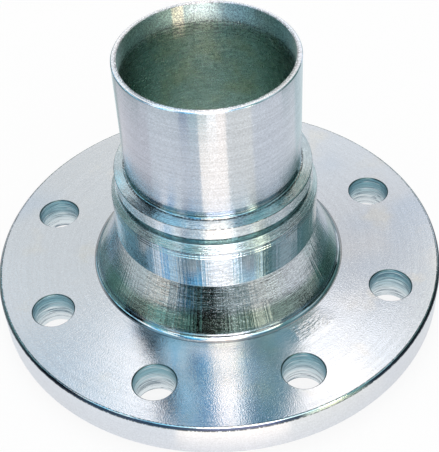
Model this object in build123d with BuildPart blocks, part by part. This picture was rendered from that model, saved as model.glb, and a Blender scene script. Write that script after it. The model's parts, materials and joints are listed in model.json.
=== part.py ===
from build123d import *
import os

# Flanged hose tail: a flat pipe flange with a ring of bolt holes at one end, and at the other
# a plain tail that a hose is pushed over. Between them stand a conical neck, a hub and a
# collar with a groove behind it, where the two halves of a bolted hose clamp hook in.
# It is one forging, turned all over and zinc plated, so the whole part is one solid.
# Millimetres. The origin is the centre of the sealing face, which the part stands on, and
# +Z is the axis, from the sealing face up to the open end of the tail.

# Flange plate
flange_od = 200.0
plate_thickness = 17.0
plate_edge_chamfer = 1.2

# Bolt holes, and how far their centres lie in from the plate's edge
bolt_hole_count = 8
bolt_hole_d = 18.0
bolt_edge_distance = 20.0
bolt_hole_chamfer = 0.5

# Raised sealing face under the plate, and how far it stays inside the bolt holes
sealing_face_gap = 2.0
sealing_face_height = 3.0
sealing_face_chamfer = 0.5

# Tail and the bore inside it
tail_od = 74.5
tail_wall = 2.25
tail_length = 53.1
rim_chamfer = 0.4
bore_mouth_chamfer = 1.0

# Turned relief at the root of the tail
relief_depth = 0.6
relief_height = 3.6
relief_fillet = 1.2

# Collar that the hose clamp hooks behind, with a sloping shoulder on top
collar_step = 4.75
collar_height = 5.9
collar_chamfer = 0.5
shoulder_rise = 1.4

# Clamp groove under the collar
groove_width = 2.4
groove_depth = 2.5

# Hub: how far it stands out past the collar, its rough chamfer and its straight band
hub_step = 2.25
hub_chamfer_width = 1.85
hub_chamfer_height = 3.6
hub_height = 18.8

# Two fine turned rings at the top of the straight band
ring_count = 2
ring_pitch = 1.3
ring_width = 0.5
ring_depth = 0.2

# Neck: a cone under the hub that flares a little more near the plate, and its foot
cone_height = 11.7
cone_spread = 5.25
flare_height = 7.7
flare_spread = 4.3
foot_fillet = 2.8

# Heights, each stacked on the one below
plate_bottom = sealing_face_height
plate_top = plate_bottom + plate_thickness
flare_bottom = plate_top + foot_fillet
flare_top = flare_bottom + flare_height
hub_bottom = flare_top + cone_height
hub_chamfer_bottom = hub_bottom + hub_height
groove_bottom = hub_chamfer_bottom + hub_chamfer_height
collar_bottom = groove_bottom + groove_width
collar_top = collar_bottom + collar_height
tail_root = collar_top + shoulder_rise
relief_top = tail_root + relief_height
tail_end = tail_root + tail_length

# Radii, each stepped from the tail outwards
tail_r = tail_od / 2
bore_r = tail_r - tail_wall
relief_r = tail_r - relief_depth
collar_r = tail_r + collar_step
groove_r = collar_r - groove_depth
hub_r = collar_r + hub_step
flare_top_r = hub_r + cone_spread
foot_r = flare_top_r + flare_spread
flange_r = flange_od / 2
bolt_circle_r = flange_r - bolt_edge_distance
sealing_face_r = bolt_circle_r - bolt_hole_d / 2 - sealing_face_gap


def ring_notch(ring):
    """The three outline points of one fine turned ring, counted down from the hub chamfer."""
    middle = hub_chamfer_bottom - ring * ring_pitch
    return [
        (hub_r, middle - ring_width / 2),
        (hub_r - ring_depth, middle),
        (hub_r, middle + ring_width / 2),
    ]


with BuildPart() as flanged_hose_tail:
    # Half section of the turned body: out under the plate, round its edge, up the neck, hub,
    # collar and tail to the rim, and back down the bore
    with BuildSketch(Plane.XZ) as half_section:
        with BuildLine():
            Polyline(
                (bore_r + bore_mouth_chamfer, 0),
                (sealing_face_r - sealing_face_chamfer, 0),
                (sealing_face_r, sealing_face_chamfer),
                (sealing_face_r, plate_bottom),
                (flange_r - plate_edge_chamfer, plate_bottom),
                (flange_r, plate_bottom + plate_edge_chamfer),
                (flange_r, plate_top - plate_edge_chamfer),
                (flange_r - plate_edge_chamfer, plate_top),
                (foot_r + foot_fillet, plate_top),
            )
            JernArc((foot_r + foot_fillet, plate_top), (-1, 0), foot_fillet, -90)
            Polyline(
                (foot_r, flare_bottom),
                (flare_top_r, flare_top),
                (hub_r, hub_bottom),
                *[point for ring in range(ring_count, 0, -1) for point in ring_notch(ring)],
                (hub_r, hub_chamfer_bottom),
                (hub_r - hub_chamfer_width, groove_bottom),
                (groove_r, groove_bottom),
                (groove_r, collar_bottom),
                (collar_r - collar_chamfer, collar_bottom),
                (collar_r, collar_bottom + collar_chamfer),
                (collar_r, collar_top),
                (relief_r + relief_fillet, tail_root),
            )
            JernArc((relief_r + relief_fillet, tail_root), (-1, 0), relief_fillet, -90)
            Polyline(
                (relief_r, tail_root + relief_fillet),
                (relief_r, relief_top - relief_depth),
                (tail_r, relief_top),
                (tail_r, tail_end - rim_chamfer),
                (tail_r - rim_chamfer, tail_end),
                (bore_r, tail_end),
                (bore_r, bore_mouth_chamfer),
                (bore_r + bore_mouth_chamfer, 0),
            )
        make_face()
    revolve(axis=Axis.Z)

    # Bolt holes through the plate, set so that they straddle the two centre lines
    with Locations(Plane.XY.offset(plate_top)):
        with PolarLocations(bolt_circle_r, bolt_hole_count, start_angle=180 / bolt_hole_count):
            Hole(bolt_hole_d / 2)
    hole_rims = flanged_hose_tail.edges(Select.LAST).filter_by(GeomType.CIRCLE)
    chamfer(hole_rims, bolt_hole_chamfer)

flanged_hose_tail.part.label = "flanged_hose_tail"
os.makedirs("parts", exist_ok=True)
export_step(flanged_hose_tail.part, "parts/flanged_hose_tail.step")
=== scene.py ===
# %% [markdown]
# # A flanged hose tail in zinc-plated steel
#
# This script dresses one turned steel fitting: a flat plate with eight bolt holes, a flared
# neck, a hub, a collar with a groove behind it, and a thin tail that a hose is pushed over.
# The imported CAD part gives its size. What Blender adds is the finish, because on bright turned
# metal nearly everything one sees is a reflection, drawn out across the tool marks.

import json
import math

import bmesh
import bpy
from mathutils import Matrix, Vector

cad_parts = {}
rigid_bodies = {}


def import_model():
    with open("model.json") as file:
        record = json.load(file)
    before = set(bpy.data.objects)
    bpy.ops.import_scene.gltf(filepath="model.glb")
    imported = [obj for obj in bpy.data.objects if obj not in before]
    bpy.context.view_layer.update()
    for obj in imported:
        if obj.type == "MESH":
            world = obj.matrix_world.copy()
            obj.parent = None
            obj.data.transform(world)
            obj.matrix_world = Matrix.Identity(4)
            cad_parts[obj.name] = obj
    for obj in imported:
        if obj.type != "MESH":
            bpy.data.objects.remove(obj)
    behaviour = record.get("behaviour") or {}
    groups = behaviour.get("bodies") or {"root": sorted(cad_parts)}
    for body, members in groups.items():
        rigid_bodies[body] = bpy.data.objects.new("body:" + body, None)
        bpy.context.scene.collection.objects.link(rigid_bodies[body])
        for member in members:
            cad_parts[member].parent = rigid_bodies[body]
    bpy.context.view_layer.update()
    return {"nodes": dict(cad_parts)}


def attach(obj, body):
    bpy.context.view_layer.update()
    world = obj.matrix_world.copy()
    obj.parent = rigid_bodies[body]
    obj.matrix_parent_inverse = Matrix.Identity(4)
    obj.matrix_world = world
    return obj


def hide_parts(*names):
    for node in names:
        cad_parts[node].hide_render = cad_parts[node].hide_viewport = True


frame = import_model()
scene = bpy.context.scene
MM = 0.001

# %% [markdown]
# ## Heights and radii
#
# A turned part is a stack of heights on one axis, each with a radius. They are named here once,
# in millimetres from the sealing face and from the axis, because the finish asks for them again:
# the groove's dark film has to lie exactly where the outline cuts the groove.

# %% Named sizes
PLATE_BOTTOM, PLATE_TOP = 3.0, 20.0
FLARE_BOTTOM, BEND = 22.8, 30.5
HUB_BOTTOM, HUB_TOP = 42.2, 61.0
GROOVE_BOTTOM, COLLAR_BOTTOM, COLLAR_TOP = 64.6, 67.0, 72.9
ROOT_BOTTOM, ROOT_TOP, RIM = 74.3, 77.3, 127.4
BORE_R, ROOT_R, TAIL_R = 35.0, 36.65, 37.25
GROOVE_R, COLLAR_R, HUB_R = 39.5, 42.0, 44.25
BEND_R, FOOT_R, FACE_R, PLATE_R = 49.5, 53.8, 69.0, 100.0
PLATE_CHAMFER = 1.2
print("rim at", RIM, "mm, plate", 2 * PLATE_R, "mm across")

# %% [markdown]
# ## The turned profile
#
# A lathe makes every surface here except the holes, so the whole body is one outline spun
# round the axis. The outline lists a corner at a time as radius, height and rounding, from the
# bore's lower mouth out under the plate and back to the tail's rim. Near the top of the hub are
# two fine rings, which the tool left there.

# %% The outline's corners
def fine_ring(middle):
    """The three corners of one thin turned ring in the hub's straight wall."""
    return [(HUB_R, middle - 0.25, 0.05), (HUB_R - 0.2, middle, 0.0), (HUB_R, middle + 0.25, 0.05)]


outline = [
    (BORE_R + 1.0, 0.0, 0.15),
    (FACE_R - 0.5, 0.0, 0.1),
    (FACE_R, 0.5, 0.1),
    (FACE_R, PLATE_BOTTOM, 0.15),
    (PLATE_R - PLATE_CHAMFER, PLATE_BOTTOM, 0.25),
    (PLATE_R, PLATE_BOTTOM + PLATE_CHAMFER, 0.25),
    (PLATE_R, PLATE_TOP - PLATE_CHAMFER, 0.25),
    (PLATE_R - PLATE_CHAMFER, PLATE_TOP, 0.25),
    (FOOT_R, PLATE_TOP, 2.6),
    (FOOT_R, FLARE_BOTTOM, 0.0),
    (BEND_R, BEND, 3.0),
    (HUB_R, HUB_BOTTOM, 0.3),
    *fine_ring(58.4),
    *fine_ring(59.7),
    (HUB_R, HUB_TOP, 0.15),
    (COLLAR_R + 0.4, GROOVE_BOTTOM, 0.15),
    (GROOVE_R, GROOVE_BOTTOM, 0.2),
    (GROOVE_R, COLLAR_BOTTOM, 0.2),
    (COLLAR_R - 0.5, COLLAR_BOTTOM, 0.1),
    (COLLAR_R, COLLAR_BOTTOM + 0.5, 0.1),
    (COLLAR_R, COLLAR_TOP, 0.2),
    (ROOT_R, ROOT_BOTTOM, 1.0),
    (ROOT_R, ROOT_TOP, 0.1),
    (TAIL_R, ROOT_TOP + 0.6, 0.15),
    (TAIL_R, RIM - 0.4, 0.12),
    (TAIL_R - 0.4, RIM, 0.12),
    (BORE_R, RIM, 0.2),
    (BORE_R, 1.0, 0.15),
]
print("corners:", len(outline))

# %% [markdown]
# ## Rounding its corners
#
# A cutting tool never leaves a perfect corner, and the tiny rounding at each is what catches a
# thin line of light. Bevelling the outline's points before the spin costs a few edges. Bevelling
# the finished body would have to find every ring of edges again.

# %% Draw the outline and round it
SOFT_BEND = 0.9


def draw_line(points, closed=True):
    """A bmesh with edges through (radius, height) points in the XZ plane, and its vertices."""
    bm = bmesh.new()
    verts = [bm.verts.new((r * MM, 0, z * MM)) for r, z in points]
    for here, after in zip(verts, verts[1:] + verts[:1] if closed else verts[1:]):
        bm.edges.new((here, after))
    return bm, verts


def round_corners(bm, verts, roundings):
    """Bevels each vertex by its own rounding in millimetres. 0 leaves a corner sharp."""
    for size in sorted(set(roundings) - {0.0}):
        bmesh.ops.bevel(
            bm, geom=[vert for vert, rounding in zip(verts, roundings) if rounding == size],
            offset=size * MM, offset_type="OFFSET", affect="VERTICES",
            segments=8 if size > SOFT_BEND else 2, profile=0.5, material=-1,
        )


body, corners = draw_line([(r, z) for r, z, _ in outline])
round_corners(body, corners, [rounding for _, _, rounding in outline])
print("outline:", len(body.verts), "points")

# %% [markdown]
# ## Spinning it
#
# One full turn in many steps keeps the plate's edge round even close up. The seam is welded, and
# the faces are then made to point outwards, because a spin can leave them facing in.

# %% Spin the outline round the axis
BODY_STEPS = 288
WELD = 1e-6


def spin_round(bm, steps):
    """Spins the bmesh's line once round the Z axis, into a skin that faces outwards."""
    bmesh.ops.spin(
        bm, geom=bm.verts[:] + bm.edges[:], cent=(0, 0, 0), axis=(0, 0, 1),
        angle=2 * math.pi, steps=steps, use_merge=True,
    )
    bmesh.ops.remove_doubles(bm, verts=bm.verts[:], dist=WELD)
    bmesh.ops.recalc_face_normals(bm, faces=bm.faces[:])


spin_round(body, BODY_STEPS)
print("turned body:", len(body.faces), "faces")

# %% [markdown]
# ## Coordinates that follow the tool
#
# The finish has to know which way the tool travelled. A UV map tells it: u runs once round the
# axis, and v runs along the outline, so a line of constant v is one tool mark. v is the height
# less a share of the radius, which changes steadily on walls, cones and flat faces alike.

# %% A UV map of turns and centimetres
UV_NAME = "turned"
RADIUS_SHARE = 0.6


def map_turned(bm, middle=(0, 0)):
    """Writes u as turns round the axis through middle, and v as centimetres along the cut."""
    layer = bm.loops.layers.uv.new(UV_NAME)
    for face in bm.faces:
        turns = []
        for loop in face.loops:
            x, y, _ = loop.vert.co
            turns.append(math.atan2(y - middle[1], x - middle[0]) / (2 * math.pi))
        wraps = max(turns) - min(turns) > 0.5
        for loop, turn in zip(face.loops, turns):
            x, y, z = loop.vert.co
            radius = math.hypot(x - middle[0], y - middle[1])
            if wraps and turn < 0:
                turn += 1
            loop[layer].uv = (turn, (z - RADIUS_SHARE * radius) * 100)


map_turned(body)
turned = bpy.data.meshes.new("flanged_hose_tail_turned")
body.to_mesh(turned)
body.free()
fitting = bpy.data.objects.new("hose_tail_body", turned)
scene.collection.objects.link(fitting)
print("turned mesh:", len(turned.polygons), "faces, UV", turned.uv_layers[0].name)

# %% [markdown]
# ## The drill
#
# Each bolt hole is drilled and then countersunk by half a millimetre on both faces. The drill
# here is itself a small spun outline with the two chamfers on it, and it stands out past both
# faces of the plate. Its upper half mirrors the lower one.

# %% Eight copies of the drill
HOLE_COUNT = 8
HOLE_CIRCLE = 80 * MM
HOLE_R = 9.0
HOLE_CHAMFER = 0.5
DRILL_STEPS = 64
lower_half = [
    (0, PLATE_BOTTOM - 2.0),
    (HOLE_R + HOLE_CHAMFER + 1.0, PLATE_BOTTOM - 2.0),
    (HOLE_R + HOLE_CHAMFER + 1.0, PLATE_BOTTOM - 1.0),
    (HOLE_R + HOLE_CHAMFER, PLATE_BOTTOM),
    (HOLE_R, PLATE_BOTTOM + HOLE_CHAMFER),
]
upper_half = [(r, PLATE_BOTTOM + PLATE_TOP - z) for r, z in reversed(lower_half)]
hole_turns = [2 * math.pi * (hole + 0.5) / HOLE_COUNT for hole in range(HOLE_COUNT)]
hole_middles = [HOLE_CIRCLE * Vector((math.cos(turn), math.sin(turn))) for turn in hole_turns]
drills = bmesh.new()
for middle in hole_middles:
    one, _ = draw_line(lower_half + upper_half, closed=False)
    spin_round(one, DRILL_STEPS)
    bmesh.ops.translate(one, verts=one.verts[:], vec=middle.to_3d())
    map_turned(one, middle)
    held = bpy.data.meshes.new("drill")
    one.to_mesh(held)
    one.free()
    drills.from_mesh(held)
    bpy.data.meshes.remove(held)
print("drills:", HOLE_COUNT, "with", len(drills.faces), "faces")

# %% [markdown]
# ## Drilling the bolt holes
#
# A Boolean modifier takes the eight drills out of the plate. That is simpler than drawing the
# plate round every hole, and it leaves exactly the edges a drill would. The walls it cuts keep
# the drills' own UV map, so their tool marks run round each hole.

# %% Cut the holes
drill_mesh = bpy.data.meshes.new("drills")
drills.to_mesh(drill_mesh)
drills.free()
drill = bpy.data.objects.new("drills", drill_mesh)
scene.collection.objects.link(drill)

cut = fitting.modifiers.new("bolt holes", "BOOLEAN")
cut.operation = "DIFFERENCE"
cut.solver = "EXACT"
cut.object = drill
bpy.context.view_layer.update()
finished = fitting.evaluated_get(bpy.context.evaluated_depsgraph_get())
drilled = bpy.data.meshes.new_from_object(finished)
fitting.modifiers.clear()
fitting.data = drilled
bpy.data.objects.remove(drill)
print("drilled mesh:", len(drilled.polygons), "faces")

# %% [markdown]
# ## Which faces the drill cut
#
# A drilled wall is rougher than a turned one and takes a material of its own. Its faces are
# found by where they are: close to a hole's middle, and not lying flat.

# %% Mark the drilled walls
WALL_REACH = (HOLE_R + 0.6) * MM
LYING_FLAT = 0.9
drilled_walls = 0
for face in drilled.polygons:
    nearest = min((face.center.xy - middle).length for middle in hole_middles)
    on_wall = nearest < WALL_REACH and abs(face.normal.z) < LYING_FLAT
    face.material_index = 1 if on_wall else 0
    drilled_walls += face.material_index
print("faces on hole walls:", drilled_walls)

# %% [markdown]
# ## Smooth walls and crisp corners
#
# Walls are shaded smooth, and an edge stays sharp where two walls meet at a real angle.
# Weighted normals let the wide walls win over the narrow roundings beside them, so that a
# flat face reflects as a flat face right up to its edge.

# %% Shade it
SHARP_ANGLE = 38
WIDE_WALL_LEAD = 80
for face in drilled.polygons:
    face.use_smooth = True
drilled.set_sharp_from_angle(angle=math.radians(SHARP_ANGLE))
weighted = fitting.modifiers.new("wide walls lead", "WEIGHTED_NORMAL")
weighted.keep_sharp = True
weighted.weight = WIDE_WALL_LEAD
print("edges past", SHARP_ANGLE, "degrees stay sharp")

# %% [markdown]
# ## Shader maths
#
# The class below holds one output of a node. Adding or multiplying two of them adds the Math
# node, so the finish further down can be written as plain sums. Any other node comes from
# node(), which sets its options first and then its inputs.

# %% A small class for node maths
class Flow:
    """One value in a node tree, which can be used in Python sums."""

    def __init__(self, tree, socket=None):
        self.tree = tree
        self.socket = socket

    def node(self, kind, settings=None, inputs=None, output=0):
        """Adds a node of that kind: its settings first, then its inputs by name or number."""
        made = self.tree.nodes.new(kind)
        for name, value in (settings or {}).items():
            setattr(made, name, value)
        for name, value in (inputs or {}).items():
            self.feed(made.inputs[name], value)
        return Flow(self.tree, made.outputs[output])

    def output(self, which):
        """Another output of the same node, by name or number."""
        return Flow(self.tree, self.socket.node.outputs[which])

    def feed(self, socket, value):
        """Links a Flow to an input, or writes a plain value into it."""
        if isinstance(value, Flow):
            self.tree.links.new(value.socket, socket)
        elif hasattr(value, "__len__") and len(socket.default_value) == 4 and len(value) == 3:
            socket.default_value = (*value, 1.0)
        else:
            socket.default_value = value

    def maths(self, operation, *values):
        """A Math node of that operation."""
        return self.node("ShaderNodeMath", {"operation": operation}, dict(enumerate(values)))

    def __add__(self, other):
        return self.maths("ADD", self, other)

    __radd__ = __add__

    def __sub__(self, other):
        return self.maths("SUBTRACT", self, other)

    def __rsub__(self, other):
        return self.maths("SUBTRACT", other, self)

    def __mul__(self, other):
        return self.maths("MULTIPLY", self, other)

    __rmul__ = __mul__

    def __truediv__(self, other):
        return self.maths("DIVIDE", self, other)

    def __pow__(self, other):
        return self.maths("POWER", self, other)

    def step(self, low, high, start=0.0, end=1.0):
        """Eases from start to end as this value goes from low to high."""
        return self.node(
            "ShaderNodeMapRange", {"interpolation_type": "SMOOTHSTEP"},
            {"Value": self, "From Min": low, "From Max": high, "To Min": start, "To Max": end},
        )

    def within(self, low, high):
        """1 between two limits, each the pair of values that its edge fades between."""
        return self.step(low[0], low[1]) * self.step(high[1], high[0])

    def near(self, level, half_width):
        """1 where this value is within half_width of level, and 0 elsewhere."""
        return self.maths("COMPARE", self, level, half_width)

    def mix(self, first, second):
        """first where this value is 0, second where it is 1, for colours."""
        return self.node(
            "ShaderNodeMix", {"data_type": "RGBA"}, {0: self, 6: first, 7: second}, output=2,
        )

    def noise(self, scale, detail, roughness=0.5, dimensions="3D"):
        """Soft random values, mostly from 0.3 to 0.7, laid out in the space of this vector."""
        return self.node(
            "ShaderNodeTexNoise", {"noise_dimensions": dimensions},
            {"Vector": self, "Scale": scale, "Detail": detail, "Roughness": roughness},
        )


print("shader maths ready")

# %% [markdown]
# ## Starting a material
#
# Both steels begin the same way, as an empty node tree, and end in the same kind of metal.
# Turned metal is anisotropic: fine grooves run round the axis and draw each reflection out
# across them. A quarter turn of the anisotropy does that, with the tangent of the UV map.

# %% New materials and turned metal
ACROSS_THE_MARKS = 0.25


def new_material(name):
    """An empty material, the Flow that its nodes start from, and its output node."""
    material = bpy.data.materials.new(name)
    material.use_nodes = True
    material.node_tree.nodes.clear()
    out = material.node_tree.nodes.new("ShaderNodeOutputMaterial")
    return material, Flow(material.node_tree), out


def turned_metal(start, colour, roughness, normal, metallic, drawn_out):
    """A metal surface whose reflections are drawn out across the tool marks, from 0 to 1."""
    tangent = start.node("ShaderNodeTangent", {"direction_type": "UV_MAP", "uv_map": UV_NAME})
    return start.node(
        "ShaderNodeBsdfPrincipled",
        inputs={
            "Base Color": colour, "Metallic": metallic, "Roughness": roughness,
            "Normal": normal, "Anisotropic": drawn_out,
            "Anisotropic Rotation": ACROSS_THE_MARKS, "Tangent": tangent,
        },
    )


print("anisotropy turned by", ACROSS_THE_MARKS, "of a circle")

# %% [markdown]
# ## Where a point lies on the part
#
# The fitting is one piece of steel, but feeds, films, dirt and painted shade differ from wall to
# wall. The material measures each point from its Object coordinates: height, radius, and bearing,
# in degrees round from the front. zone() turns these into a mask that is 1 on one wall of the
# outline and fades out over a few tenths of a millimetre, as worn edges do. A separate material
# for each wall would give hard borders instead.

# %% Measures and zones
steel, start, out = new_material("turned_zinc_plated_steel")
place = start.node("ShaderNodeTexCoord", output="Object")
axes = start.node("ShaderNodeSeparateXYZ", inputs={0: place})
x, y, height = (axes.output(axis) * 1000 for axis in "XYZ")
radius = (x * x + y * y) ** 0.5
bearing = axes.maths("ARCTAN2", x, y * -1) * (180 / math.pi)


def zone(low=None, high=None, inner=None, outer=None):
    """1 in one zone and 0 outside it. Each limit is the pair of values that its edge fades
    between. low and high are heights, inner and outer are radii."""
    edges = []
    for value, fade_in, fade_out in ((height, low, high), (radius, inner, outer)):
        if fade_in:
            edges.append(value.step(*fade_in))
        if fade_out:
            edges.append(value.step(*reversed(fade_out)))
    mask, *others = edges
    for edge in others:
        mask = mask * edge
    return mask


def around(level, half_width=0.1):
    """The pair of values for an edge that fades on both sides of level."""
    return (level - half_width, level + half_width)


INSIDE_WALL = around(BORE_R + 1.0, 0.2)
in_bore = zone(outer=INSIDE_WALL)
on_plate = zone(high=(PLATE_TOP, PLATE_TOP + 0.3), inner=(FOOT_R + 0.2, FOOT_R + 2.2))
on_side = zone(inner=around(PLATE_R - 0.6, 0.2))
# The plate's edge chamfer, which carries a painted dark reflection.
painted_edge_line = zone(low=(18.8, 18.95), high=(19.6, 19.75), inner=(98.7, 98.85))
on_neck = zone(low=(22.0, 24.0), high=around(HUB_BOTTOM, 0.2), inner=INSIDE_WALL)
on_hub = zone(low=around(HUB_BOTTOM, 0.2), high=around(HUB_TOP), inner=INSIDE_WALL)
on_hub_chamfer = zone(
    low=(HUB_TOP - 0.1, HUB_TOP + 0.2), high=around(GROOVE_BOTTOM), inner=INSIDE_WALL,
)
in_groove = zone(
    low=around(GROOVE_BOTTOM), high=around(COLLAR_BOTTOM),
    inner=INSIDE_WALL, outer=around(COLLAR_R),
)
on_collar = zone(
    low=(COLLAR_BOTTOM, COLLAR_BOTTOM + 0.3), high=around(COLLAR_TOP - 0.1),
    inner=(COLLAR_R - 0.8, COLLAR_R - 0.3),
)
on_shoulder = zone(low=around(COLLAR_TOP), inner=(TAIL_R + 0.05, TAIL_R + 0.35))
# The next two masks carry painted shade at the tail's root: its fillet, and the relief just above
# it.
root_shade = zone(
    low=(ROOT_BOTTOM - 0.1, ROOT_BOTTOM), high=(75.0, 75.3),
    inner=INSIDE_WALL, outer=(TAIL_R + 0.05, TAIL_R + 0.25),
)
tail_foot_shade = zone(low=(74.9, 75.6), high=(76.4, 78.4), inner=INSIDE_WALL)
on_tail = zone(low=(74.6, 75.2), inner=INSIDE_WALL)
on_rim = zone(low=(RIM - 0.2, RIM - 0.05))
wide_wall = on_plate + on_tail
print("nodes that measure and mask:", len(steel.node_tree.nodes))

# %% [markdown]
# ## Tool marks and grain
#
# Each tool leaves its own lines. Noise that is squeezed along the cut and hardly changes round
# it gives them, at three widths. Ribs are the reverse: they change only round the part, and
# break the neck's and hub's reflections into upright streaks. Grain and speckle are the crystals
# of the zinc, and the slow noises are where the film pooled.

# %% Noise for the tool marks, the ribs, the grain and the film
along = start.node("ShaderNodeUVMap", {"uv_map": UV_NAME})
cut_line = start.node("ShaderNodeSeparateXYZ", inputs={0: along}, output="Y")


def tool_marks(size_mm, detail, wander):
    """Fine lines that run round the axis: noise squeezed along the cut and slow round it."""
    marks_a_cm = 10 / size_mm
    where = start.node(
        "ShaderNodeCombineXYZ",
        inputs={0: x * wander, 1: y * wander, 2: cut_line * marks_a_cm},
    )
    return where.noise(1.0, detail, 0.6)


fine_marks = tool_marks(0.4, 1.0, 0.02)
broad_marks = tool_marks(1.1, 2.0, 0.01)
chatter = tool_marks(0.9, 2.0, 0.3)
RIB_SCALE = 40
facing = start.node(
    "ShaderNodeCombineXYZ", inputs={0: x / radius * RIB_SCALE, 1: y / radius * RIB_SCALE},
)
ribs = facing.noise(1.0, 2.0, dimensions="2D")
patches = place.noise(45.0, 3.0, 0.55)
film = place.noise(18.0, 2.0)
grain = place.noise(1400.0, 1.0)
speckle = place.noise(2000.0, 0.0)
print("noises: three of tool marks, ribs at scale", RIB_SCALE, "and four of grain and film")

# %% [markdown]
# ## Rough places, a painted highlight and a scuff
#
# The last centimetre inside the tail's mouth is rougher than the rest of the bore, with an edge
# that the grain breaks up. One narrow strip down its far wall carries a pale painted highlight.
# On the plate, at the front right, something scuffed the surface beside the neck. A lathe leaves
# nothing one-sided, so bearings place the strip and the scuff.

# %% Masks of the rough mouth, the painted highlight strip and the scuff
in_mouth = in_bore * (height + (grain - 0.5) * 12).step(116.6, 119.6)
# A painted highlight: a pale strip down the bore's far wall.
painted_highlight_strip = in_bore * height.step(110.5, 114.5)
painted_highlight_strip = painted_highlight_strip * bearing.within((-168.5, -166.0), (-160.0, -158.0))
scuff = on_plate * radius.within((56.5, 58.5), (63.0, 70.0))
scuff = scuff * bearing.within((24.0, 30.0), (40.0, 48.0))
print("masks of the worn places ready")

# %% [markdown]
# ## The plating's colour
#
# Zinc plating makes steel's grey a little blue, and the thin film that seals it drifts between
# blue and straw. The film is thicker where the bath was still, so the bore is bottle green and
# the groove is teal, and thinner where the tool left a bright wall. Each line of the table lays
# one film over what is there already, by its amount. A few lines lay painted light instead:
# painted shade and a painted highlight ring at the tail's root, a painted highlight strip in the
# bore, and painted reflections on the plate's edge.

# %% Films from wall to wall, and painted light
tint = film.step(0.52, 0.70).mix((0.57, 0.60, 0.63), (0.50, 0.56, 0.63))
tint = (patches.step(0.55, 0.75) * 0.7).mix(tint, (0.60, 0.60, 0.57))
# A ring of painted highlight just over the tail's root.
root_highlight = height.near(75.4, 0.28) * zone(inner=INSIDE_WALL)
lower_neck = on_neck * height.step(BEND + 2.5, BEND - 2.5)
upper_neck = on_neck * height.step(BEND - 2.5, BEND + 2.5)
films_and_painted_light = [
    (on_tail * 0.9, (0.525, 0.56, 0.63)),  # a breath of lilac on the tail
    # Painted shade in the relief, then a painted highlight ring above it.
    (tail_foot_shade * 0.5, (0.30, 0.38, 0.50)),  # dark blue where it starts
    (root_highlight * 0.8, (0.95, 0.96, 0.98)),  # a bright ring just over its root
    (in_bore * 0.8, (0.31, 0.48, 0.42)),  # bottle green in the bore
    (in_bore * patches.step(0.50, 0.70) * 0.6, (0.40, 0.46, 0.32)),  # with olive patches
    (in_mouth * 0.4, (0.42, 0.52, 0.52)),  # greyer at the mouth
    # A painted highlight, pale straw, in one strip of the bore's far wall.
    (painted_highlight_strip * 0.75, (0.94, 0.89, 0.72)),  # and nearly bare in the rubbed strip
    (lower_neck * 0.7, (0.37, 0.50, 0.43)),  # green on the flare
    (upper_neck * 0.7, (0.595, 0.635, 0.67)),  # pale on the cone above it
    (on_hub * 0.7, (0.53, 0.565, 0.60)),  # grey on the hub
    (on_hub_chamfer, (0.52, 0.60, 0.63)),  # bluer on its chamfer
    (in_groove * 0.8, (0.45, 0.62, 0.62)),  # teal in the clamp groove
    (on_collar, (0.744, 0.747, 0.774)),  # bright on the collar
    (on_shoulder, (0.456, 0.516, 0.536)),  # darker on the shoulder above it
    # Painted shade, nearly black, in the tail's root fillet.
    (root_shade * 0.85, (0.17, 0.26, 0.30)),  # nearly black in the tail's root
    (on_side, (0.76, 0.78, 0.83)),  # frosted round the plate's side
    (on_rim, (0.80, 0.81, 0.84)),  # bright on the tail's rim
    # Painted reflections on the plate's edge chamfer: a dark line all round, fainter at the left.
    (painted_edge_line, (0.05, 0.06, 0.09)),  # a dark line round the plate's edge
    (painted_edge_line * bearing.step(-55.0, -75.0), (0.30, 0.32, 0.36)),  # fainter at the left
    # A pale painted highlight on the edge at the front right.
    (painted_edge_line * bearing.within((15.0, 19.0), (30.0, 36.0)), (0.60, 0.60, 0.56)),  # and worn off
]
for amount, film_and_light_colour in films_and_painted_light:
    tint = amount.mix(tint, film_and_light_colour)
print("films:", len(films_and_painted_light))

# %% [markdown]
# ## Painted shade in the corners, and soot
#
# Edges and inner corners get a thin dark line of painted shade, which the grain breaks up, and
# two dark lines ring the bore. Only the line at the neck's foot is unbroken, a painted shadow
# under the foot's fillet. Dots of soot also sit in the bore, at the lower border of its rough
# mouth.

# %% Thin lines of painted shade and dots of soot
SHADE_AND_SOOT = (0.05, 0.06, 0.06)
SHADE_LINE_FADE = 0.05


def shade_line(level, half_width, first_radius, last_radius):
    """A thin line of painted shade at a height and between two radii."""
    between = zone(inner=around(first_radius, SHADE_LINE_FADE), outer=around(last_radius, SHADE_LINE_FADE))
    return height.near(level, half_width) * between


# Painted shade: dark lines at the rim's inner edge, the plate's edge and the inner corners.
shade_lines = on_rim * radius.step(35.7, 35.4) * 0.6
for level, half_width, first_radius, last_radius in (
    (PLATE_TOP - 1.3, 0.2, PLATE_R - 0.3, PLATE_R + 0.3),
    (PLATE_TOP, 0.1, PLATE_R - 1.55, PLATE_R - 1.15),
    (HUB_TOP + 0.05, 0.16, HUB_R - 0.35, HUB_R + 0.15),
    (GROOVE_BOTTOM + 0.1, 0.2, GROOVE_R - 0.2, GROOVE_R + 0.3),
    (COLLAR_TOP - 0.1, 0.15, COLLAR_R - 0.5, COLLAR_R + 0.1),
    (ROOT_BOTTOM - 0.3, 0.3, TAIL_R + 0.05, TAIL_R + 0.85),
):
    shade_lines = shade_lines + shade_line(level, half_width, first_radius, last_radius)
for level, half_width in ((118.5, 0.2), (112.8, 0.22)):
    shade_lines = shade_lines + in_bore * height.near(level, half_width) * 0.8
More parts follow.
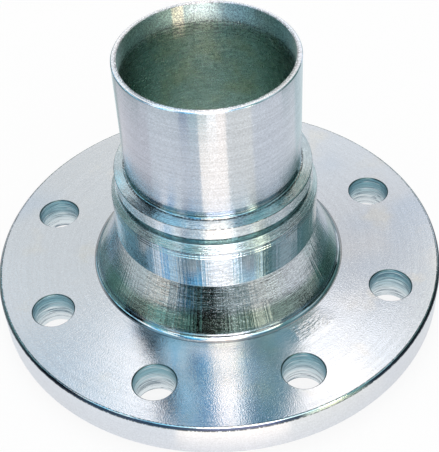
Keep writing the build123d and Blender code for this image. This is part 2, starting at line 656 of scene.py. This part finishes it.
# A painted shadow line at the neck's foot.
foot_shadow_line = shade_line(PLATE_TOP + 0.2, 0.2, 55.0, 56.8)
pepper = in_bore * height.within((112.5, 115.5), (118.5, 122.0))
for shade_and_soot_amount in (
    shade_lines * grain.step(0.40, 0.50) * 0.85,
    foot_shadow_line * 0.6,
    pepper * grain.step(0.54, 0.58) * 0.8,
):
    tint = shade_and_soot_amount.mix(tint, SHADE_AND_SOOT)
print("nodes with the colour:", len(steel.node_tree.nodes))

# %% [markdown]
# ## Light and dark in the marks
#
# A tool mark is a little darker on one flank, so the noises also shade the colour, each between
# two levels. The wide walls were cut with a slow, fine feed and are nearly even. The bore was
# cut coarsely. by_zone() adds up what each zone changes.

# %% Shade the colour by the marks
def by_zone(base, *changes):
    """A value that each zone changes by its own amount: pairs of a mask and a change."""
    for mask, change in changes:
        base = base + mask * change
    return base


shade = broad_marks.step(
    0.35, 0.65, by_zone(0.94, (on_plate, 0.04)), by_zone(1.03, (on_plate, -0.02)),
)
shade = shade * grain.step(
    0.30, 0.70, by_zone(0.93, (on_plate, 0.03)), by_zone(1.07, (on_plate, -0.03)),
)
shade = shade * chatter.step(
    0.35, 0.65, by_zone(0.90, (wide_wall, 0.08)), by_zone(1.06, (wide_wall, -0.05)),
)
shade = shade * speckle.step(
    0.35, 0.65,
    by_zone(0.93, (in_bore, -0.13), (in_mouth, -0.15), (on_neck, -0.06), (on_plate, 0.03)),
    by_zone(1.05, (in_bore, 0.10), (in_mouth, 0.15), (on_plate, -0.02)),
)
colour = start.node(
    "ShaderNodeVectorMath", {"operation": "SCALE"}, {0: tint, "Scale": shade},
)
print("the colour is shaded by four noises")

# %% [markdown]
# ## Gloss
#
# Turned and plated steel is nearly a mirror. The bore, the hub's chamfer, the collar and the
# plate's side were cut with a coarser feed and scatter more. The marks and patches vary it a
# little, which keeps a long reflection from looking like plastic.

# %% Roughness from wall to wall
rough = by_zone(
    0.13, (on_tail, 0.03), (in_bore, 0.14), (on_plate, 0.03), (on_hub_chamfer, 0.12),
    (on_side, 0.15), (on_collar, 0.12), (on_shoulder, 0.08), (on_neck, -0.02),
)
rough = rough + (chatter - 0.5) * (0.12 - wide_wall * 0.11)
rough = rough + (fine_marks - 0.5) * 0.08 + (patches - 0.5) * 0.05 + (grain - 0.5) * 0.08
print("roughness ready")

# %% [markdown]
# ## Depth of the marks
#
# The grooves are only hundredths of a millimetre deep, too fine for geometry, so a Bump node
# tilts the light instead. Marks are deepest on the hub's chamfer and the shoulder. On the plate
# they deepen towards the neck, where the tool slowed down. Grain stands up most in the rough
# mouth.

# %% Grooves as bump
MARK_DEPTH = 0.06 * MM
coarse = by_zone(
    1.0, (on_hub_chamfer, 8), (on_shoulder, 5), (in_groove, 3), (in_mouth, 3), (on_neck, 2),
    (on_plate, -0.6), (on_plate * radius.step(74.0, 58.0), 1.6),
)
marks = fine_marks * 0.5 + broad_marks * 0.3 + chatter * (0.5 - wide_wall * 0.44)
grains = grain * by_zone(0.6, (on_plate, 0.5), (in_bore, 1.5), (in_mouth, 5))
depth = (marks * coarse + grains) * (1 - on_side * 0.6)
depth = depth + speckle * by_zone(0.3, (on_plate, 0.5)) + scuff * chatter * 14
depth = depth + ribs * by_zone(0.4, (on_neck, 6.0), (on_hub, 4.5))
grooves = start.node(
    "ShaderNodeBump", inputs={"Strength": 0.35, "Distance": MARK_DEPTH, "Height": depth},
)
print("bump ready")

# %% [markdown]
# ## Two surfaces in one steel
#
# In the rough mouth of the bore the marks are so torn that a highlight spreads into a wide
# smear. A second metal with a roughness of its own gives it, and the mouth's mask mixes the two.

# %% The steel's surface
MOUTH_ROUGHNESS = 0.43
surface = turned_metal(start, colour, rough, grooves, metallic=1.0, drawn_out=0.85)
rough_mouth = turned_metal(start, colour, MOUTH_ROUGHNESS, grooves, metallic=1.0, drawn_out=1.0)
both = start.node("ShaderNodeMixShader", inputs={0: in_mouth, 1: surface, 2: rough_mouth})
start.feed(out.inputs["Surface"], both)
print("steel:", len(steel.node_tree.nodes), "nodes")

# %% [markdown]
# ## The drilled walls
#
# A twist drill tears the steel more than a lathe does, so the walls of the bolt holes are
# rougher, with a ring for each turn of the drill. The wall is pale at the bottom and more
# blue-green towards the top. A few rings are torn deeper and are nearly black, others are
# bright, and the lip at either end carries a dark line of painted shade.

# %% The holes' material
TEAR_DEPTH = 0.1 * MM
WANDER, RING_SCALE = 22.0, 760.0
hole_steel, start, out = new_material("drilled_zinc_plated_steel")
place = start.node("ShaderNodeTexCoord", output="Object")
rise = start.node("ShaderNodeSeparateXYZ", inputs={0: place}, output="Z") * 1000
slow_round = start.node(
    "ShaderNodeVectorMath", {"operation": "MULTIPLY"},
    {0: place, 1: (WANDER, WANDER, RING_SCALE)},
)
rings = slow_round.noise(1.0, 2.0, 0.6)
wall = rise.step(5.0, 18.0).mix((0.84, 0.90, 0.93), (0.25, 0.47, 0.54))
torn = rings.near(0.52, 0.022) + rings.near(0.42, 0.012)
bright = rings.near(0.58, 0.02)
# Painted shade: a dark line at the lip of either end of the hole.
lip_shade = rise.step(PLATE_TOP - 0.65, PLATE_TOP - 0.3)
lip_shade = lip_shade + rise.step(PLATE_BOTTOM + 0.65, PLATE_BOTTOM + 0.3)
for amount, ring_colour in (
    (torn * 0.75, (0.08, 0.14, 0.20)),
    (bright * 0.6, (0.95, 0.97, 0.98)),
    (lip_shade * 0.9, (0.04, 0.06, 0.06)),
):
    wall = amount.mix(wall, ring_colour)
wall_grooves = start.node(
    "ShaderNodeBump", inputs={"Strength": 0.4, "Distance": TEAR_DEPTH, "Height": rings},
)
wall_rough = 0.34 + (rings - 0.5) * 0.2
wall_surface = turned_metal(start, wall, wall_rough, wall_grooves, metallic=0.85, drawn_out=0.7)
start.feed(out.inputs["Surface"], wall_surface)
print("hole walls:", len(hole_steel.node_tree.nodes), "nodes")

# %% [markdown]
# ## Putting the fitting in the frame
#
# The imported node's mesh stays as it is. It only takes the steel too, for tools that show the
# node instead of the piece.

# %% Materials, ride and stand-in
for finish in (steel, hole_steel):
    fitting.data.materials.append(finish)
hidden = frame["nodes"]["flanged_hose_tail"].data
hidden.materials.clear()
hidden.materials.append(steel)
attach(fitting, "root")
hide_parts("flanged_hose_tail")
print("the fitting rides on root and stands for flanged_hose_tail")

# %% [markdown]
# ## The floor
#
# The part stands on a white floor under a white, even sky. The floor shows its own white to the
# camera and to glossy rays, and its lit surface shows through that a little, so that the part's
# soft shadow stays on it.

# %% White floor
FLOOR_HALF_WIDTH = 20.0
SHOWN_WHITE = 0.88


def seen_directly(start):
    """1 for rays from the camera, in a reflection or through glass, 0 for scattered light."""
    path = start.node("ShaderNodeLightPath")
    seen = path.output("Is Camera Ray")
    for ray in ("Is Glossy Ray", "Is Transmission Ray"):
        seen = seen.maths("MAXIMUM", seen, path.output(ray))
    return seen


bm = bmesh.new()
bmesh.ops.create_grid(bm, x_segments=1, y_segments=1, size=FLOOR_HALF_WIDTH)
floor_mesh = bpy.data.meshes.new("floor")
bm.to_mesh(floor_mesh)
bm.free()
floor = bpy.data.objects.new("floor", floor_mesh)
scene.collection.objects.link(floor)
white, start, out = new_material("white_floor")
lit = start.node("ShaderNodeBsdfDiffuse", inputs={"Color": (0.9, 0.9, 0.9)})
glow = start.node("ShaderNodeEmission", inputs={"Color": (1, 1, 1), "Strength": 1.0})
shown = seen_directly(start) * SHOWN_WHITE
both = start.node("ShaderNodeMixShader", inputs={0: shown, 1: lit, 2: glow})
start.feed(out.inputs["Surface"], both)
floor_mesh.materials.append(white)
print("floor:", 2 * FLOOR_HALF_WIDTH, "m wide")

# %% [markdown]
# ## The sky
#
# An even white sky is the softest light there is. It is full white where it is seen and a
# quarter weaker where it lights, so that the shadow under the plate still shows. It has no
# bright spots to aim at, so Cycles needn't sample it as a lamp.

# %% White sky
SKY_LIGHT = 0.75
world = bpy.data.worlds.new("studio")
scene.world = world
world.use_nodes = True
world.node_tree.nodes.clear()
start = Flow(world.node_tree)
out = world.node_tree.nodes.new("ShaderNodeOutputWorld")
level = seen_directly(start) * (1 - SKY_LIGHT) + SKY_LIGHT
sky = start.node("ShaderNodeBackground", inputs={"Color": (1, 1, 1), "Strength": level})
start.feed(out.inputs["Surface"], sky)
world.cycles.sampling_method = "NONE"
print("sky lights at", SKY_LIGHT)

# %% [markdown]
# ## The tent of cards
#
# Bright metal would vanish against all this white, because it only shows what stands round it.
# A product photographer therefore builds a tent of dark, tinted and bright cards round such a
# piece, and the metal mirrors them as bands. The tent here is a dome made of rings, from the
# floor beside the plate up to the top, each ring given as its distance from the axis and its
# height in metres. Each tone lists its cards: the lowest and the highest ring that a card
# covers, the bearing of its middle and its spread, in degrees round from the front. Each tone
# was worked out backwards from the bands on the part: which card a wall mirrors, and how
# bright that card has to be. A last pair of cards hangs closer, just above the level of the
# tail's open end.

# %% Rings and tones of the tent
TENT_RINGS = [
    (0.112, 0.001), (0.20, 0.001), (0.30, 0.0015), (0.50, 0.004), (0.72, 0.06),
    (0.82, 0.19), (0.86, 0.33), (0.85, 0.51), (0.79, 0.69), (0.68, 0.84),
    (0.50, 0.96), (0.26, 1.05), (0.0, 1.08),
]
TENT_TONES = {
    "card_black_velvet": ((0.0, 0.0, 0.0), [
        (2, 3, -10, 10), (3, 3, 55, 40), (3, 4, 95, 40), (3, 3, -55, 80), (4, 5, 70, 10),
        (4, 6, -75, 20), (4, 5, -10, 30), (5, 5, 45, 40), (6, 6, -115, 60), (8, 8, -130, 10),
        (8, 9, -105, 40), (9, 9, 135, 20), (9, 9, -135, 20),
    ]),
    "card_bottle_green": ((0.09, 0.17, 0.15), [
        (2, 3, -150, 110), (2, 2, -20, 10), (3, 3, 5, 20), (3, 5, 20, 10), (4, 4, -40, 10),
        (5, 5, 110, 30), (5, 6, 85, 20),
    ]),
    "card_navy": ((0.0, 0.19, 0.42), [
        (1, 2, -30, 10), (7, 9, -40, 10), (9, 9, 35, 20), (10, 11, -175, 60),
    ]),
    "card_green_gauze": ((0.20, 0.38, 0.36), [
        (1, 2, 100, 30), (1, 1, -175, 60), (1, 1, -110, 50), (4, 4, -155, 140), (4, 5, -30, 10),
        (5, 5, -100, 30), (6, 8, 115, 40), (7, 10, 50, 10), (7, 8, 60, 10), (8, 8, 140, 10),
    ]),
    "card_grey_gauze": ((0.52, 0.59, 0.59), [
        (0, 1, -140, 10), (2, 3, 30, 10), (2, 2, 80, 10), (4, 5, 10, 10), (4, 4, 50, 30),
    ]),
    "card_teal_gauze": ((0.36, 0.76, 0.82), [
        (1, 1, -15, 20), (4, 6, -55, 20), (6, 6, 45, 60), (9, 10, 90, 70),
    ]),
    "card_deep_blue": ((0.07, 0.80, 1.53), [
        (7, 8, -60, 10), (8, 10, -30, 10),
    ]),
    "card_pale_grey": ((0.75, 0.87, 0.88), [
        (0, 4, 120, 10), (0, 0, 170, 90), (1, 3, 145, 20), (1, 1, -60, 50), (2, 2, -80, 30),
        (7, 8, 80, 30),
    ]),
    "card_warm_grey": ((0.90, 0.88, 0.90), [
        (0, 0, -105, 60), (8, 8, 165, 20),
    ]),
    "card_pale_blue": ((0.77, 0.96, 1.13), [
        (2, 2, 10, 30), (2, 2, -40, 10), (5, 5, -175, 120), (9, 9, -155, 20), (11, 11, 90, 110),
    ]),
    "card_white": ((1.0, 1.02, 1.03), [
        (0, 0, 80, 70), (0, 0, -45, 60), (1, 1, 65, 40), (7, 8, -170, 30), (10, 10, 135, 20),
    ]),
    "card_sky_silk": ((0.66, 1.15, 1.48), [
        (7, 8, -80, 10), (8, 9, -20, 10), (8, 8, 15, 60), (10, 10, 40, 10), (10, 10, -90, 110),
    ]),
    "card_straw": ((1.18, 1.16, 1.08), [
        (0, 1, 30, 30),
    ]),
    "card_white_silk": ((1.17, 1.20, 1.24), [
        (1, 4, 130, 10), (2, 2, 65, 20), (6, 7, 150, 30), (6, 7, -150, 10), (7, 7, 170, 10),
        (8, 8, -145, 20),
    ]),
    "card_cool_silk": ((0.75, 1.51, 1.82), [
        (6, 6, -35, 20), (7, 7, -115, 60), (7, 7, -25, 20), (9, 9, -70, 30),
    ]),
    "card_warm_silk": ((1.83, 1.65, 1.45), [
        (0, 1, 10, 10), (0, 0, -5, 20), (2, 2, -55, 20), (4, 4, 30, 10), (6, 6, -175, 40),
        (8, 11, 150, 10),
    ]),
    "card_bright_silk": ((1.90, 2.0, 1.92), [
        (1, 1, 0, 10), (2, 2, 45, 20), (7, 9, -50, 10),
    ]),
    "card_side_lamp": ((2.37, 2.22, 2.16), [
        (5, 5, -40, 10), (7, 8, -70, 10), (9, 9, 175, 40), (10, 11, 30, 10), (11, 11, -60, 170),
    ]),
    "card_front_lamp": ((2.93, 3.36, 3.08), [
        (6, 6, -10, 30), (7, 7, 30, 30), (9, 9, 20, 10),
    ]),
    "card_main_lamp": ((5.2, 4.26, 3.51), [
        (6, 7, 10, 10), (7, 7, -5, 20), (9, 9, 0, 30), (10, 10, 0, 50),
    ]),
}
MOUTH_RINGS = [(0.30, 0.134), (0.30, 0.168), (0.30, 0.205)]
MOUTH_TONES = {
    "card_mouth_front": ((11.0, 10.3, 11.4), [(0, 0, 4, 30)]),
    "card_mouth_right": ((6.0, 5.8, 4.2), [(0, 1, 40, 9)]),
}
print("tones:", len(TENT_TONES), "cards:", sum(len(cards) for _, cards in TENT_TONES.values()))

# %% [markdown]
# ## Hanging the cards
#
# A card fills part of one ring or of several, and is made by spinning that piece of the dome's
# outline round the axis. Cards of one tone are cut from one sheet, so they share an object and
# a material. Only glossy rays see them: they cast no shade and lay no tint on the floor.

# %% Cut the cards and hang them
DEGREES_A_STEP = 4


def hang(name, colour, cards, rings):
    """Cards of one tone. Each is its lowest and highest ring, the bearing of its middle and its
    spread."""
    bm = bmesh.new()
    for lowest, highest, middle, spread in cards:
        first = math.radians(middle - 90 - spread / 2)
        edge = [
            bm.verts.new((far * math.cos(first), far * math.sin(first), high))
            for far, high in rings[lowest:highest + 2]
        ]
        side = [bm.edges.new(pair) for pair in zip(edge, edge[1:])]
        bmesh.ops.spin(
            bm, geom=edge + side, cent=(0, 0, 0), axis=(0, 0, 1), angle=math.radians(spread),
            steps=max(3, int(spread / DEGREES_A_STEP)), use_merge=False,
        )
    mesh = bpy.data.meshes.new(name)
    bm.to_mesh(mesh)
    bm.free()
    sheet = bpy.data.objects.new(name, mesh)
    scene.collection.objects.link(sheet)
    tone, start, out = new_material(name)
    glow = start.node("ShaderNodeEmission", inputs={"Color": colour, "Strength": 1.0})
    start.feed(out.inputs["Surface"], glow)
    mesh.materials.append(tone)
    for ray in ("camera", "diffuse", "shadow", "transmission", "volume_scatter"):
        setattr(sheet, "visible_" + ray, False)


for tones, rings in ((TENT_TONES, TENT_RINGS), (MOUTH_TONES, MOUTH_RINGS)):
    for name, (colour, cards) in tones.items():
        hang(name, colour, cards, rings)
print("sheets hung:", len(TENT_TONES) + len(MOUTH_TONES))

# %% [markdown]
# ## Softboxes
#
# Three large area lamps light the floor and soften the shadow under the plate: one behind, one
# overhead and one near the camera. The metal doesn't mirror them, because the tent's bright
# cards stand in for them. A lamp's energy is worked out from how bright its surface should
# look, since an area lamp spreads its energy over its size.

# %% Large lamps
HUB = Vector((0, 0, 0.05))


def round_from_front(bearing, far, high):
    """A point at a bearing, a distance off the axis and a height."""
    turn = math.radians(bearing - 90)
    return Vector((far * math.cos(turn), far * math.sin(turn), high))


def softbox(name, place, aim, width, height, brightness, colour=(1.0, 1.0, 1.0)):
    """A one-sided area lamp at place, aimed at another point. brightness is that of its own
    surface, where 1 is white."""
    lamp = bpy.data.lights.new(name, "AREA")
    lamp.shape = "RECTANGLE"
    lamp.size = width
    lamp.size_y = height
    lamp.color = colour
    lamp.energy = brightness * math.pi * width * height
    stand = bpy.data.objects.new(name, lamp)
    scene.collection.objects.link(stand)
    facing = (place - aim).to_track_quat("Z", "Y").to_matrix()
    stand.matrix_world = Matrix.Translation(place) @ facing.to_4x4()
    stand.visible_camera = False
    return stand


for name, middle, far, high, wide, tall, brightness in (
    ("softbox_back", 178.5, 0.78, 1.21, 0.46, 0.46, 2.3),
    ("softbox_top", 180, 0.27, 1.22, 0.34, 0.36, 6.0),
    ("softbox_front", 18, 0.80, 0.80, 0.56, 0.26, 3.2),
):
    stand = softbox(name, round_from_front(middle, far, high), HUB, wide, tall, brightness)
    stand.visible_glossy = False
print("softboxes:", len(bpy.data.lights))

# %% [markdown]
# ## Lamps over the mouth
#
# The far wall just inside the tail's open end mirrors bright things that stand very close and
# low. Three thumb-sized lamps hang just over the mouth, each aimed at the wall across from it.
# They shine one way only, so nothing outside the bore sees them.

# %% Small lamps
LAMP_HEIGHT, LAMP_DEPTH = 0.137, 0.014
LIT_HEIGHT, LIT_RADIUS = 0.120, 0.035
for name, middle, far, wide, brightness, colour in (
    ("mouth_lamp_front", 6.0, 0.028, 0.026, 18.0, (1.0, 0.74, 0.80)),
    ("mouth_lamp_right", 62, 0.030, 0.008, 16.0, (1.0, 0.84, 0.66)),
    ("mouth_lamp_left", -56, 0.027, 0.026, 2.4, (0.35, 0.40, 1.0)),
):
    lamp_place = round_from_front(middle, far, LAMP_HEIGHT)
    lit_place = round_from_front(middle + 180, LIT_RADIUS, LIT_HEIGHT)
    softbox(name, lamp_place, lit_place, wide, LAMP_DEPTH, brightness, colour)
print("lamps:", len(bpy.data.lights))

# %% [markdown]
# ## Camera
#
# The camera stands where the photographer's did: half a metre off, looking down at about 45
# degrees and rolled a few degrees. Its place, its lens and its roll come from fitting the
# plate's outline, the holes and the rim to the picture. The lens is shifted rather than turned
# to put the part in its place, because a turn would change how the tail leans.

# %% Camera
PITCH = math.radians(45.52)
ROLL = math.radians(3.459)
TURN = math.radians(-1.09)
DISTANCE = 0.4884
FOCAL_PIXELS = 1067.9
SHIFT_PIXELS = (1.52, 21.69)
LONG_SIDE = 452
SENSOR = 36
aim = PLATE_TOP * MM * Vector((0, 0, 1))
right = Vector((1, 0, 0))
ahead = Vector((0, math.cos(PITCH), -math.sin(PITCH)))
up = Vector((0, math.sin(PITCH), math.cos(PITCH)))
side = math.cos(ROLL) * right - math.sin(ROLL) * up
top = math.sin(ROLL) * right + math.cos(ROLL) * up
turn = Matrix.Rotation(TURN, 3, "Z")
lens = bpy.data.cameras.new("camera")
lens.sensor_width = SENSOR
lens.lens = FOCAL_PIXELS / LONG_SIDE * SENSOR
lens.shift_x, lens.shift_y = (shift / LONG_SIDE for shift in SHIFT_PIXELS)
camera = bpy.data.objects.new("camera", lens)
scene.collection.objects.link(camera)
facing = Matrix((turn @ side, turn @ top, turn @ -ahead)).transposed()
camera.matrix_world = Matrix.Translation(aim - turn @ ahead * DISTANCE) @ facing.to_4x4()
scene.camera = camera
scene.view_settings.view_transform = "Standard"
print("camera at", [round(c, 4) for c in camera.matrix_world.translation])
